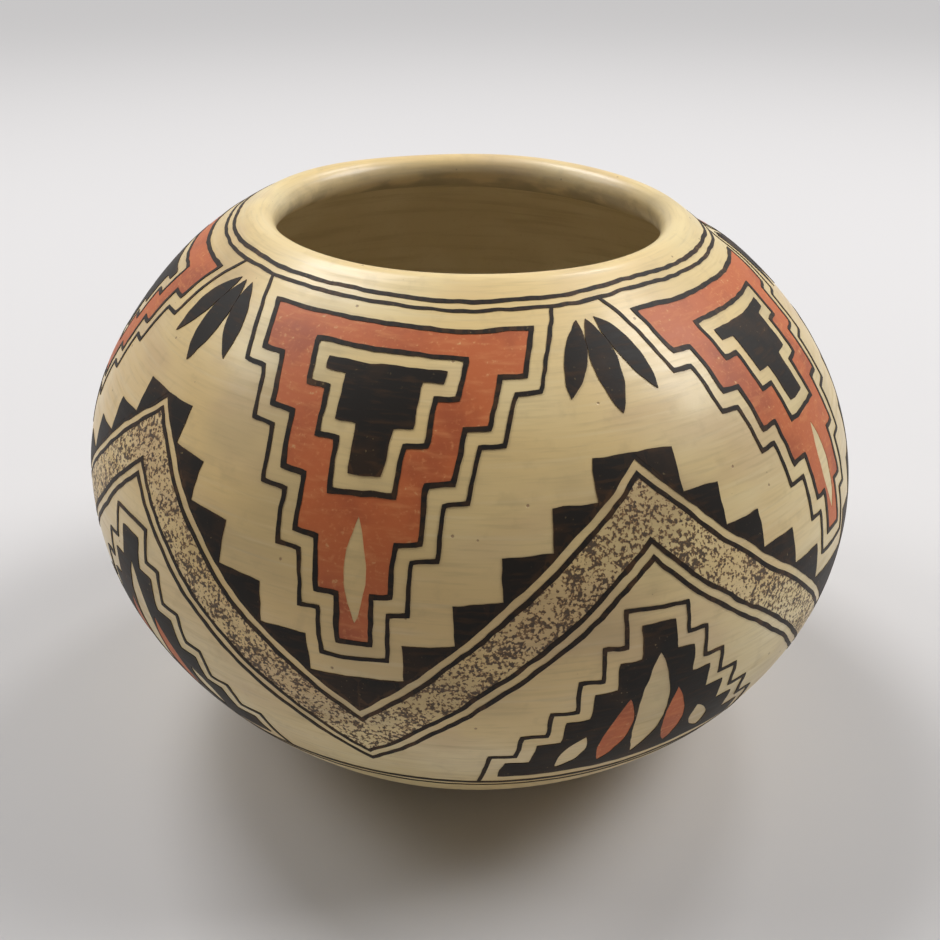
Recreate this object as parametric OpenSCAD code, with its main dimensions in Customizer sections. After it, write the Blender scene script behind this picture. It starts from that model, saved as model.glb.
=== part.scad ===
// Wide-mouthed globular jar of coil-built pottery.
// A moulded base carries ring coils, each lapped inside the one below, and a rounded rim coil closes the wall.
// Millimetres, +Z up, origin at the middle of the underside.

/* [Body] */
// Diameter of the belly at its widest ring
belly_d = 176; // [160:1:200]
// Height of the widest ring above the underside
belly_z = 64; // [60:1:66]
// Radius of the wall's curve at the belly, seen in section
belly_arc = 56; // [50:1:62]
// Radius of the wall's curve over the shoulder
shoulder_arc = 84; // [76:1:92]
// Angle above level at which the belly's curve passes into the shoulder's
shoulder_from = 31; // [26:1:36]
// Radius of the wall's curve towards the base
lower_arc = 72; // [68:1:78]
// Angle below level at which the belly's curve passes into the lower wall's
lower_from = 20; // [14:1:26]

/* [Wall] */
// Thickness of the wall
wall = 6; // [4:0.5:7]
// Thickness of the floor
floor_t = 7; // [5:0.5:10]

/* [Lip] */
// Radius of the rounded lip
lip_r = 4; // [3.5:0.25:5]
// Angle above level at which the shoulder's curve passes into the lip
lip_from = 62; // [58:1:66]

/* [Coils] */
// Number of ring coils between the base and the rim coil
coils = 9; // [6:1:12]
// Length of wall that the moulded base carries, measured up its outer face
base_rise = 30; // [20:1:40]
// How far each coil laps down inside the one below
lap = 4; // [1:0.5:6]

/* [Hidden] */

// Straight runs that stand for each curved face of a coil, and for the lip's half round
face_runs = 6;
lip_runs = 16;
$fn = 180;

cream_slip = [0.86, 0.80, 0.65];
blushed_slip = [0.88, 0.79, 0.58];

// Centres of the section's three curves; each curve is tangent to its neighbour
belly_c = [belly_d / 2 - belly_arc, belly_z];
shoulder_c = belly_c - (shoulder_arc - belly_arc) * [cos(shoulder_from), sin(shoulder_from)];
lower_c = belly_c - (lower_arc - belly_arc) * [cos(lower_from), -sin(lower_from)];

// Angles below level at which the lower curve reaches the underside, outside, and the floor, inside
base_angle = asin(lower_c.y / lower_arc);
floor_angle = asin((lower_c.y - floor_t) / (lower_arc - wall));

// Places along the outer face, as lengths up the wall from the widest ring
shoulder_s = arc_length(belly_arc, shoulder_from);
lower_s = -arc_length(belly_arc, lower_from);
lip_s = shoulder_s + arc_length(shoulder_arc, lip_from - shoulder_from);
base_s = lower_s - arc_length(lower_arc, base_angle - lower_from);
floor_s = lower_s - arc_length(lower_arc, floor_angle - lower_from);
base_top_s = base_s + base_rise;

// The lip is a half round, tangent to the shoulder's outer face
lip_c = arc_point(shoulder_c, shoulder_arc - lip_r, lip_from);

function arc_length(radius, angle) = radius * angle * PI / 180;

function arc_angle(radius, length) = length / radius * 180 / PI;

function arc_point(centre, radius, angle) = centre + radius * [cos(angle), sin(angle)];

// Point of the section at a length up the wall and a depth under the outer face
function wall_point(s, depth) =
    s > shoulder_s ?
        arc_point(shoulder_c, shoulder_arc - depth, shoulder_from + arc_angle(shoulder_arc, s - shoulder_s))
    : s < lower_s ?
        arc_point(lower_c, lower_arc - depth, -lower_from + arc_angle(lower_arc, s - lower_s))
    : arc_point(belly_c, belly_arc - depth, arc_angle(belly_arc, s));

// Points of a face from one length up the wall to another
function face(from, to, depth) =
    [for (i = [0 : face_runs]) wall_point(from + (to - from) * i / face_runs, depth)];

// Length up the outer face at which a course starts: course 1 is the first coil, the last is the rim coil
function joint_s(course) = base_top_s + (lip_s - base_top_s) * (course - 1) / (coils + 1);

// The rim coil thickens inwards, from the wall's thickness at its joint to the lip's at its top
function rim_depth(rise) = wall + (2 * lip_r - wall) * rise * rise;

// Section of the base: floor, underside and the first stretch of wall
function base_section() =
    concat(
        [[0, 0]],
        face(base_s, base_top_s, 0),
        face(base_top_s - lap, floor_s, wall),
        [[0, floor_t]]
    );

// Section of one ring coil, with a slanted joint face at its foot and at its top
function coil_section(course) =
    concat(
        face(joint_s(course), joint_s(course + 1), 0),
        face(joint_s(course + 1) - lap, joint_s(course) - lap, wall)
    );

// Section of the rim coil: outer face, half-round lip and thickened inner face
function rim_section(foot_s = joint_s(coils + 1), foot_in_s = joint_s(coils + 1) - lap) =
    concat(
        face(foot_s, lip_s, 0),
        [for (i = [1 : lip_runs - 1]) arc_point(lip_c, lip_r, lip_from + 180 * i / lip_runs)],
        [
            for (i = [0 : face_runs])
                let (rise = 1 - i / face_runs)
                wall_point(foot_in_s + (lip_s - foot_in_s) * rise, rim_depth(rise))
        ]
    );

// The moulded bottom that the first coil is laid on
module base() {
    color(cream_slip)
        rotate_extrude()
            polygon(base_section());
}

// One course of the wall
module wall_coil(course) {
    color(cream_slip)
        rotate_extrude()
            polygon(coil_section(course));
}

// The last course, rounded over as the lip
module rim_coil() {
    color(blushed_slip)
        rotate_extrude()
            polygon(rim_section());
}

base();
for (k = [1 : coils])
    wall_coil(k);
rim_coil();
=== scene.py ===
"""Looks of a coil-built pottery jar with a polished cream slip and a painted band.

The wall is the base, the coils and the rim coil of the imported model, made a little uneven as hands make it.
The paint lies on the wall as thin films: they are drawn on the unrolled wall and then wrapped round it.
"""

from __future__ import annotations

import logging
import math
from collections.abc import Iterable, Mapping, Sequence
from dataclasses import dataclass, field
from enum import Enum
from functools import cached_property

import bmesh
import bpy
import numpy as np
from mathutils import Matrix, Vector

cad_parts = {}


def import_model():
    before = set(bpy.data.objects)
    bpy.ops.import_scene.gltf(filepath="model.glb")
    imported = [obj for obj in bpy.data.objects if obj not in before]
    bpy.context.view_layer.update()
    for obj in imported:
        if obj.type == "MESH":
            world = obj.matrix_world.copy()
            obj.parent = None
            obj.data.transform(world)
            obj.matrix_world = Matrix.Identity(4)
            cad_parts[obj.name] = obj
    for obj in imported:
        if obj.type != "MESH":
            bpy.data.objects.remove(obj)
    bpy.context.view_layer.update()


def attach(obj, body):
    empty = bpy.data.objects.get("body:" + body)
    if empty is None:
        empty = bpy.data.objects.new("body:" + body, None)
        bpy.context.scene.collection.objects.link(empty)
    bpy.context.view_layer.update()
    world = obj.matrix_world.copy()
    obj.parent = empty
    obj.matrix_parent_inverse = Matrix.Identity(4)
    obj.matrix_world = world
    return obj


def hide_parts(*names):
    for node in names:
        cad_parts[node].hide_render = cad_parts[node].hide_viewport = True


Array = np.ndarray
Point = tuple[float, float]
Span = tuple[float, float]
Loop = list[Point]
Colour = tuple[float, float, float, float]

MM = 0.001
ROOT = "root"
SKIN = "skin"
EDGE = "edge"

log = logging.getLogger("jar")


def srgb(red: int, green: int, blue: int) -> Colour:
    """Linear colour of a picture's values.

    Args:
        red: Red, 0 to 255.
        green: Green, 0 to 255.
        blue: Blue, 0 to 255.

    Returns:
        The colour that a shader takes, with full alpha.
    """
    return tuple(
        c / 12.92 if c <= 0.04045 else ((c + 0.055) / 1.055) ** 2.4
        for c in (red / 255, green / 255, blue / 255)
    ) + (1.0,)


def ease(values: Array, low: float, high: float) -> Array:
    """Smooth step of some values, 0 at low and 1 at high."""
    t = np.clip((values - low) / (high - low), 0.0, 1.0)
    return t * t * (3.0 - 2.0 * t)


class Paint(Enum):
    """The coats that the painter lays on the slip, each with the name of its film."""

    SPATTER = "spatter_paint"
    RED = "red_paint"
    BLACK = "black_paint"


@dataclass(frozen=True)
class WallSection:
    """Section of the wall in millimetres, with the curves that the solids have.

    A point of the skin is told by its length along it, from the middle of the underside outwards, up the
    outer face, over the lip and down the inner face to the middle of the floor. Zero is the widest ring.
    """

    belly_r: float = 88.0
    belly_z: float = 64.0
    belly_arc: float = 56.0
    shoulder_arc: float = 84.0
    shoulder_from: float = math.radians(31.0)
    lower_arc: float = 72.0
    lower_from: float = math.radians(20.0)
    wall: float = 6.0
    floor_t: float = 7.0
    lip_r: float = 4.0
    lip_from: float = math.radians(62.0)
    coils: int = 9
    base_rise: float = 30.0
    lap: float = 4.0
    edge_rounding: float = 2.5
    lip_rounding: float = 1.2
    rounding_full: float = 2.0
    rounding_reach: float = 4.0
    rounding_samples: int = 7

    @cached_property
    def belly_c(self) -> Array:
        """Centre of the belly's curve, as radius and height."""
        return np.array((self.belly_r - self.belly_arc, self.belly_z))

    @cached_property
    def shoulder_c(self) -> Array:
        """Centre of the shoulder's curve."""
        way = np.array((math.cos(self.shoulder_from), math.sin(self.shoulder_from)))
        return self.belly_c - (self.shoulder_arc - self.belly_arc) * way

    @cached_property
    def lower_c(self) -> Array:
        """Centre of the lower wall's curve."""
        way = np.array((math.cos(self.lower_from), -math.sin(self.lower_from)))
        return self.belly_c - (self.lower_arc - self.belly_arc) * way

    @cached_property
    def lip_c(self) -> Array:
        """Centre of the lip's half round."""
        way = np.array((math.cos(self.lip_from), math.sin(self.lip_from)))
        return self.shoulder_c + (self.shoulder_arc - self.lip_r) * way

    @cached_property
    def shoulder_s(self) -> float:
        """Length up the outer face at which the shoulder's curve starts."""
        return self.belly_arc * self.shoulder_from

    @cached_property
    def lower_s(self) -> float:
        """Length up the outer face at which the lower wall's curve ends, below zero."""
        return -self.belly_arc * self.lower_from

    @cached_property
    def lip_s(self) -> float:
        """Length up the outer face at which the lip starts."""
        return self.shoulder_s + self.shoulder_arc * (self.lip_from - self.shoulder_from)

    @cached_property
    def base_s(self) -> float:
        """Length up the outer face at which the underside ends."""
        angle = math.asin(self.lower_c[1] / self.lower_arc)
        return self.lower_s - self.lower_arc * (angle - self.lower_from)

    @cached_property
    def floor_s(self) -> float:
        """Length up the wall at which the inner face meets the floor."""
        angle = math.asin((self.lower_c[1] - self.floor_t) / (self.lower_arc - self.wall))
        return self.lower_s - self.lower_arc * (angle - self.lower_from)

    @cached_property
    def underside_middle(self) -> float:
        """Skin length at the middle of the underside."""
        radius, _ = self.wall_point(np.array(self.base_s), np.array(0.0))
        return self.base_s - float(radius)

    @cached_property
    def lip_end(self) -> float:
        """Skin length at which the lip ends and the inner face starts."""
        return self.lip_s + math.pi * self.lip_r

    @cached_property
    def lip_top(self) -> float:
        """Skin length at the highest ring of the lip."""
        return self.lip_s + (math.pi / 2 - self.lip_from) * self.lip_r

    @cached_property
    def mouth(self) -> float:
        """Skin length at the narrowest ring of the mouth, where the lip turns inwards."""
        return self.lip_s + (math.pi - self.lip_from) * self.lip_r

    @cached_property
    def floor_edge(self) -> float:
        """Skin length at which the inner face meets the floor."""
        return self.inner(self.floor_s)

    @cached_property
    def floor_middle(self) -> float:
        """Skin length at the middle of the floor."""
        radius, _ = self.wall_point(np.array(self.floor_s), np.array(self.wall))
        return self.floor_edge + float(radius)

    def joint_s(self, course: int) -> float:
        """Length up the outer face at which a course of the wall starts; the last is the rim coil."""
        first = self.base_s + self.base_rise
        return first + (self.lip_s - first) * (course - 1) / (self.coils + 1)

    def inner(self, s: float) -> float:
        """Skin length of the inner face's point that lies a length up the wall."""
        return self.lip_end + self.lip_s - s

    def wall_point(self, s: Array, depth: Array) -> tuple[Array, Array]:
        """Points of the section.

        Args:
            s: Lengths up the wall from the widest ring.
            depth: Depths under the outer face.

        Returns:
            The points' radii and heights.
        """
        zones = [s > self.shoulder_s, s < self.lower_s]
        radius = np.select(zones, [self.shoulder_arc, self.lower_arc], self.belly_arc)
        start_s = np.select(zones, [self.shoulder_s, self.lower_s], 0.0)
        start = np.select(zones, [self.shoulder_from, -self.lower_from], 0.0)
        centre_r = np.select(zones, [self.shoulder_c[0], self.lower_c[0]], self.belly_c[0])
        centre_z = np.select(zones, [self.shoulder_c[1], self.lower_c[1]], self.belly_c[1])
        angle = start + (s - start_s) / radius
        return centre_r + (radius - depth) * np.cos(angle), centre_z + (radius - depth) * np.sin(angle)

    def sharp_skin(self, q: Array) -> tuple[Array, Array]:
        """Section of the skin with the solids' edges.

        Args:
            q: Lengths along the skin.

        Returns:
            The points' radii and heights.
        """
        inside_s = np.clip(self.inner(q), self.floor_s, self.lip_s)
        foot = self.joint_s(self.coils + 1) - self.lap
        rise = np.clip((inside_s - foot) / (self.lip_s - foot), 0.0, 1.0)
        depth = self.wall + (2.0 * self.lip_r - self.wall) * rise**2
        outer = self.wall_point(np.clip(q, self.base_s, self.lip_s), np.zeros_like(q))
        inner = self.wall_point(inside_s, depth)
        turn = self.lip_from + (q - self.lip_s) / self.lip_r
        zones = [q < self.base_s, q <= self.lip_s, q < self.lip_end, q <= self.floor_edge]
        radius = np.select(
            zones,
            [q - self.underside_middle, outer[0], self.lip_c[0] + self.lip_r * np.cos(turn), inner[0]],
            self.floor_middle - q,
        )
        height = np.select(
            zones,
            [np.zeros_like(q), outer[1], self.lip_c[1] + self.lip_r * np.sin(turn), inner[1]],
            self.floor_t,
        )
        return radius, height

    def skin(self, q: Array) -> tuple[Array, Array]:
        """Radii and heights of the skin at some lengths along it.

        Args:
            q: Lengths along the skin.

        Returns:
            The points' radii and heights, with the edges of underside, floor and lip worn round.
        """
        radius, height = self.sharp_skin(q)
        edges = (
            (self.base_s, self.edge_rounding),
            (self.floor_edge, self.edge_rounding),
            (self.lip_end, self.lip_rounding),
        )
        for edge, width in edges:
            full, reach = self.rounding_full * width, self.rounding_reach * width
            near = np.abs(q - edge) < reach
            share = 1.0 - ease(np.abs(q[near] - edge), full, reach)
            beside = np.linspace(-width, width, self.rounding_samples)
            worn = np.mean([self.sharp_skin(q[near] + step) for step in beside], axis=0)
            radius[near] += (worn[0] - radius[near]) * share
            height[near] += (worn[1] - height[near]) * share
        return radius, height


@dataclass(frozen=True)
class HandShaping:
    """What hands leave in a wall that was never on a wheel, in millimetres."""

    lopside: float = 1.9
    lopside_up: float = 60.0
    lopside_down: float = 64.0
    lean: float = 0.9
    lean_height: float = 60.0
    lean_from: float = 20.0
    rim_dip: float = 0.92
    rim_from: float = 96.0
    rim_rise: float = 20.0
    ripple: float = 0.22
    lip_ripple: float = 0.10
    scraping: float = 0.30
    scrape_sway: float = 0.6
    wave_turns: tuple[int, int] = (1, 7)
    wave_lengths: Span = (9.0, 30.0)
    scrape_lengths: Span = (2.2, 6.0)
    calm_foot: Span = (1.0, 14.0)
    calm_axis: Span = (3.0, 30.0)
    pinch: float = 1.1
    pinch_angle: float = math.radians(14.0)
    pinch_width: float = math.radians(13.0)
    pinch_height: float = 119.5
    pinch_rise: float = 3.2
    waves: int = 14
    seed: int = 23

    def unevenness(self, phi: Array, q: Array, radius: Array, height: Array, inside: Array) -> Array:
        """Waves of the skin.

        Args:
            phi: Angles round the jar.
            q: Lengths along the skin.
            radius: Distances from the axis.
            height: Heights above the underside.
            inside: How far each point belongs to the inner face, 0 to 1.

        Returns:
            How far each point stands out of the true skin; nothing at the underside and on the axis.
        """
        rng = np.random.default_rng(self.seed)
        outside_wave, inside_wave = np.zeros_like(q), np.zeros_like(q)
        for _ in range(self.waves):
            turns, length = rng.integers(*self.wave_turns), rng.uniform(*self.wave_lengths)
            scrape = rng.uniform(*self.scrape_lengths)
            shift, lift, slide = rng.uniform(0.0, math.tau, 3)
            sway = self.scrape_sway * np.cos(phi + shift)
            outside_wave += np.cos(turns * phi + shift) * np.cos(q / length + lift)
            inside_wave += np.cos(turns * phi + slide) * np.cos(q / scrape + lift + sway)
        level = 2.0 / math.sqrt(self.waves)
        at_rim = ease(height, self.rim_from, self.rim_from + self.rim_rise)
        ripple = self.ripple + (self.lip_ripple - self.ripple) * at_rim
        out = ripple * (1.0 - inside) * outside_wave + self.scraping * inside * inside_wave
        wave = level * out * ease(height, *self.calm_foot) * ease(radius, *self.calm_axis)
        return wave - self.pinch * self.pinched(phi, height) * (1.0 - inside)

    def pinched(self, phi: Array, height: Array) -> Array:
        """The pinch that a thumb left under the lip.

        Args:
            phi: Angles round the jar.
            height: Heights above the underside.

        Returns:
            Each point's share of the pinch, 0 to 1.
        """
        beside = (np.cos(phi - self.pinch_angle) - 1.0) / self.pinch_width**2
        above = (height - self.pinch_height) / self.pinch_rise
        return np.exp(beside - above**2)

    def settle(self, points: Array, belly_z: float, rim_r: float, top: float) -> Array:
        """Points moved by the jar's lopsided belly, its lean and the dip of its rim.

        Args:
            points: Places, one row each.
            belly_z: Height of the widest ring.
            rim_r: Radius of the rim.
            top: Height of the rim.

        Returns:
            The moved places.
        """
        x, y, z = points.T
        rise = z - belly_z
        fade = 1.0 - (rise / np.where(rise > 0.0, self.lopside_up, self.lopside_down)) ** 2
        around = x / np.maximum(np.hypot(x, y), 1e-6)
        low = -self.lopside * around * np.clip(fade, 0.0, 1.0)
        dip = -self.rim_dip * x / rim_r * ease(z, self.rim_from, top)
        shift = -self.lean * rise / self.lean_height * ease(z, 0.0, self.lean_from)
        return np.column_stack((x + shift, y, z + low + dip))


@dataclass(frozen=True)
class JarSurface:
    """The skin of the jar as it was shaped by hand, told by angle and skin length."""

    section: WallSection
    shaping: HandShaping
    angle_step: float = 0.002
    length_step: float = 0.15
    slope_step: float = 0.2
    inside_fade: float = 12.0
    same_way: float = 0.75

    def place(self, phi: Array, q: Array) -> Array:
        """Places on the skin.

        Args:
            phi: Angles round the jar, anticlockwise from +X.
            q: Lengths along the skin.

        Returns:
            The places in millimetres, one row each.
        """
        section, step = self.section, self.slope_step
        radius, height = section.skin(q)
        before, after = section.skin(q - step), section.skin(q + step)
        run, climb = after[0] - before[0], after[1] - before[1]
        size = np.maximum(np.hypot(run, climb), 1e-9)
        inside = ease(q, section.lip_end, section.lip_end + self.inside_fade)
        out = self.shaping.unevenness(phi, q, radius, height, inside)
        radius, height = radius + out * climb / size, height - out * run / size
        points = np.column_stack((radius * np.cos(phi), radius * np.sin(phi), height))
        return self.shaping.settle(points, section.belly_z, section.lip_c[0], section.lip_c[1])

    def normals(self, phi: Array, q: Array) -> Array:
        """Directions in which the skin faces.

        Args:
            phi: Angles round the jar.
            q: Lengths along the skin.

        Returns:
            Unit normals, one row each.
        """
        round_it = self.place(phi + self.angle_step, q) - self.place(phi - self.angle_step, q)
        along_it = self.place(phi, q + self.length_step) - self.place(phi, q - self.length_step)
        normal = np.cross(round_it, along_it)
        size = np.linalg.norm(normal, axis=1, keepdims=True)
        upright = np.where(q[:, None] < 0.0, -1.0, 1.0) * np.array((0.0, 0.0, 1.0))
        return np.where(size > 1e-9, normal / np.maximum(size, 1e-9), upright)

    def mould(self, mesh: bpy.types.Mesh, phi: Array, q: Array, proud: Array) -> None:
        """Moves a mesh's points onto the skin and gives the faces that lie in it the skin's own normals.

        Args:
            mesh: The mesh to move; its points keep their order.
            phi: Angle of each point.
            q: Skin length of each point.
            proud: How far each point stands out of the skin, in millimetres.
        """
        normal = self.normals(phi, q)
        places = (self.place(phi, q) + normal * proud[:, None]) * MM
        mesh.vertices.foreach_set("co", places.astype(np.float32).ravel())
        if mesh.attributes.get(SKIN) is None:
            mesh.attributes.new(SKIN, "FLOAT", "POINT")
        mesh.attributes[SKIN].data.foreach_set("value", q.astype(np.float32))
        mesh.polygons.foreach_set("use_smooth", np.ones(len(mesh.polygons), dtype=bool))
        mesh.update()
        facing, sizes = np.zeros(3 * len(mesh.polygons), np.float32), np.zeros(len(mesh.polygons), np.int32)
        corner = np.zeros(len(mesh.loops), np.int32)
        mesh.polygons.foreach_get("normal", facing)
        mesh.polygons.foreach_get("loop_total", sizes)
        mesh.loops.foreach_get("vertex_index", corner)
        flat = np.repeat(facing.reshape(-1, 3), sizes, axis=0)
        agree = np.sum(flat * normal[corner], axis=1, keepdims=True) > self.same_way
        mesh.normals_split_custom_set(np.where(agree, normal[corner], flat).tolist())


class Wire:
    """A value in a node tree, with operators that add Math nodes."""

    def __init__(self, shader: NodeTree, socket: bpy.types.NodeSocket) -> None:
        """Holds a socket of a node tree."""
        self.shader = shader
        self.socket = socket

    def math(self, operation: str, *values: Wire | float) -> Wire:
        """Result of a Math node.

        Args:
            operation: The node's operation.
            values: What goes into its sockets.

        Returns:
            The node's value.
        """
        node = self.shader.node("ShaderNodeMath", {"operation": operation}, dict(enumerate(values)))
        return Wire(self.shader, node.outputs[0])

    def __add__(self, other: Wire | float) -> Wire:
        """Sum."""
        return self.math("ADD", self, other)

    def __radd__(self, other: float) -> Wire:
        """Sum with a number on the left."""
        return self.math("ADD", other, self)

    def __sub__(self, other: Wire | float) -> Wire:
        """Difference."""
        return self.math("SUBTRACT", self, other)

    def __rsub__(self, other: float) -> Wire:
        """Difference with a number on the left."""
        return self.math("SUBTRACT", other, self)

    def __mul__(self, other: Wire | float) -> Wire:
        """Product."""
        return self.math("MULTIPLY", self, other)

    def __rmul__(self, other: float) -> Wire:
        """Product with a number on the left."""
        return self.math("MULTIPLY", other, self)

    def step(self, low: float, high: float) -> Wire:
        """Smooth step of the value.

        Args:
            low: Where it is 0.
            high: Where it is 1.

        Returns:
            The step.
        """
        node = self.shader.node(
            "ShaderNodeMapRange",
            {"interpolation_type": "SMOOTHSTEP"},
            {"Value": self, "From Min": low, "From Max": high},
        )
        return Wire(self.shader, node.outputs["Result"])


class NodeTree:
    """The nodes of a material or of the world, in the making."""

    def __init__(self, owner: bpy.types.Material | bpy.types.World) -> None:
        """Empties the owner's tree.

        Args:
            owner: The material or the world.
        """
        owner.use_nodes = True
        self.tree = owner.node_tree
        self.tree.nodes.clear()

    def node(
        self,
        kind: str,
        settings: Mapping[str, object] | None = None,
        sockets: Mapping[str | int, object] | None = None,
    ) -> bpy.types.Node:
        """Adds a node.

        Args:
            kind: Type of the node.
            settings: The node's own settings, set before its sockets.
            sockets: Values or links of its sockets, by name or number.

        Returns:
            The new node.
        """
        node = self.tree.nodes.new(kind)
        for name, value in (settings or {}).items():
            setattr(node, name, value)
        for key, value in (sockets or {}).items():
            self.join(node.inputs[key], value)
        return node

    def join(self, socket: bpy.types.NodeSocket, value: object) -> None:
        """Fills a socket.

        Args:
            socket: The socket.
            value: A wire or a socket to link it to, or a value to set it to.
        """
        source = value.socket if isinstance(value, Wire) else value
        if isinstance(source, bpy.types.NodeSocket):
            self.tree.links.new(source, socket)
        else:
            socket.default_value = source

    def seen(self) -> Wire:
        """Tells the rays that show a thing from those that only light it.

        Returns:
            1 for a ray that the camera sends, or that is mirrored or let through, and otherwise 0.
        """
        path = self.node("ShaderNodeLightPath")
        camera, glossy, clear = (
            Wire(self, path.outputs[f"Is {kind} Ray"]) for kind in ("Camera", "Glossy", "Transmission")
        )
        return camera.math("MAXIMUM", camera.math("MAXIMUM", camera, glossy), clear)


@dataclass(frozen=True)
class Grain:
    """A noise: its grain in millimetres, one for all axes or one each, and the finer grains on it."""

    size: float | tuple[float, float, float]
    detail: float
    banded: bool = False


@dataclass(frozen=True)
class Specks:
    """Scattered round specks.

    The cell is the distance between places where one may lie, in millimetres. The radius is a share of it,
    and the share says how many of the places have one.
    """

    cell: float
    radius: float
    share: float
    core: float = 0.6
    cut: float = 0.02


@dataclass(frozen=True)
class Veil:
    """How a tone comes in over a value: not at all at the low end, with its full share at the high end."""

    low: float
    high: float
    share: float = 1.0

    def over(self, value: Wire) -> Wire:
        """The tone's share, where it lies on high values."""
        return value.step(self.low, self.high) * self.share

    def under(self, value: Wire) -> Wire:
        """The tone's share, where it lies on low values."""
        return (1.0 - value.step(self.low, self.high)) * self.share


class Shader(NodeTree):
    """A node material in the making."""

    def __init__(self, name: str) -> None:
        """Starts a material that has only its output and one shader.

        Args:
            name: Name of the material.
        """
        self.material = bpy.data.materials.new(name)
        super().__init__(self.material)
        self.body = self.node("ShaderNodeBsdfPrincipled")
        surface = {"Surface": self.body.outputs["BSDF"]}
        self.output = self.node("ShaderNodeOutputMaterial", sockets=surface)

    @cached_property
    def place(self) -> Wire:
        """Place on the piece, in millimetres."""
        coordinates = self.node("ShaderNodeTexCoord").outputs["Object"]
        return self.scaled(coordinates, (1.0 / MM,) * 3)

    @cached_property
    def axes(self) -> tuple[Wire, ...]:
        """Distances to the right of the middle, behind it and above the underside, in millimetres."""
        node = self.node("ShaderNodeSeparateXYZ", sockets={0: self.place})
        return tuple(Wire(self, part) for part in node.outputs)

    @cached_property
    def band(self) -> Wire:
        """Place with the skin's length for its height, so that a pattern runs in level bands round it."""
        across, behind, _ = self.axes
        sockets = {0: across, 1: behind, 2: self.attribute(SKIN)}
        return Wire(self, self.node("ShaderNodeCombineXYZ", sockets=sockets).outputs[0])

    @cached_property
    def away(self) -> Wire:
        """Distance from the origin, in millimetres."""
        node = self.node("ShaderNodeVectorMath", {"operation": "LENGTH"}, {0: self.place})
        return Wire(self, node.outputs["Value"])

    def attribute(self, name: str) -> Wire:
        """A value that the mesh holds for each of its points."""
        return Wire(self, self.node("ShaderNodeAttribute", {"attribute_name": name}).outputs["Fac"])

    def scaled(self, vector: object, scale: Sequence[float]) -> Wire:
        """A vector times a scale for each axis."""
        node = self.node("ShaderNodeVectorMath", {"operation": "MULTIPLY"}, {0: vector, 1: tuple(scale)})
        return Wire(self, node.outputs[0])

    def noise(self, grain: Grain) -> Wire:
        """A noise on the piece.

        Args:
            grain: Its grain.

        Returns:
            The noise, about 0.5 on average.
        """
        sizes = grain.size if isinstance(grain.size, tuple) else (grain.size,) * 3
        vector = self.scaled(self.band if grain.banded else self.place, [1.0 / size for size in sizes])
        node = self.node(
            "ShaderNodeTexNoise", sockets={"Vector": vector, "Scale": 1.0, "Detail": grain.detail}
        )
        return Wire(self, node.outputs["Fac"])

    def specks(self, specks: Specks) -> Wire:
        """Specks on the piece.

        Args:
            specks: Their size and number.

        Returns:
            A mask that is 1 on a speck.
        """
        vector = self.scaled(self.place, (1.0 / specks.cell,) * 3)
        cells = self.node("ShaderNodeTexVoronoi", sockets={"Vector": vector, "Scale": 1.0})
        near = Wire(self, cells.outputs["Distance"])
        parts = self.node("ShaderNodeSeparateColor", sockets={0: cells.outputs["Color"]})
        picked = Wire(self, parts.outputs[0])
        inside = 1.0 - near.step(specks.core * specks.radius, specks.radius)
        return inside * (1.0 - picked.step(specks.share, specks.share + specks.cut))

    def mix(self, low: object, high: object, factor: Wire | float) -> Wire:
        """Mixes two colours.

        Args:
            low: Colour at 0.
            high: Colour at 1.
            factor: Share of the second colour.

        Returns:
            The mixed colour.
        """
        node = self.node("ShaderNodeMix", {"data_type": "RGBA"}, {0: factor, 6: low, 7: high})
        return Wire(self, node.outputs[2])

    def layers(self, ground: object, *tones: tuple[object, Wire | float]) -> Wire:
        """Lays tones over a ground, one after another.

        Args:
            ground: Colour of the ground.
            tones: Colours, each with its share.

        Returns:
            The colour that shows.
        """
        for tone, share in tones:
            ground = self.mix(ground, tone, share)
        return ground

    def total(self, values: Sequence[Wire], weights: Sequence[float]) -> Wire:
        """Sum of some values, each times its weight."""
        parts = [value * weight for value, weight in zip(values, weights)]
        return sum(parts[1:], parts[0])

    def bump(self, height: Wire, depth: float) -> Wire:
        """Normal that is tilted by a height of some millimetres."""
        sockets = {"Height": height, "Distance": depth * MM, "Strength": 1.0}
        return Wire(self, self.node("ShaderNodeBump", sockets=sockets).outputs["Normal"])

    def dress(self, sockets: Mapping[str, object]) -> bpy.types.Material:
        """Finishes the material.

        Args:
            sockets: Values or links of the shader's sockets, by name.

        Returns:
            The material.
        """
        for name, value in sockets.items():
            self.join(self.body.inputs[name], value)
        return self.material


@dataclass(frozen=True)
class Ground:
    """What a polished ground gives to the coats that lie on it."""

    colour: Wire
    roughness: Wire
    height: Wire


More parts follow.
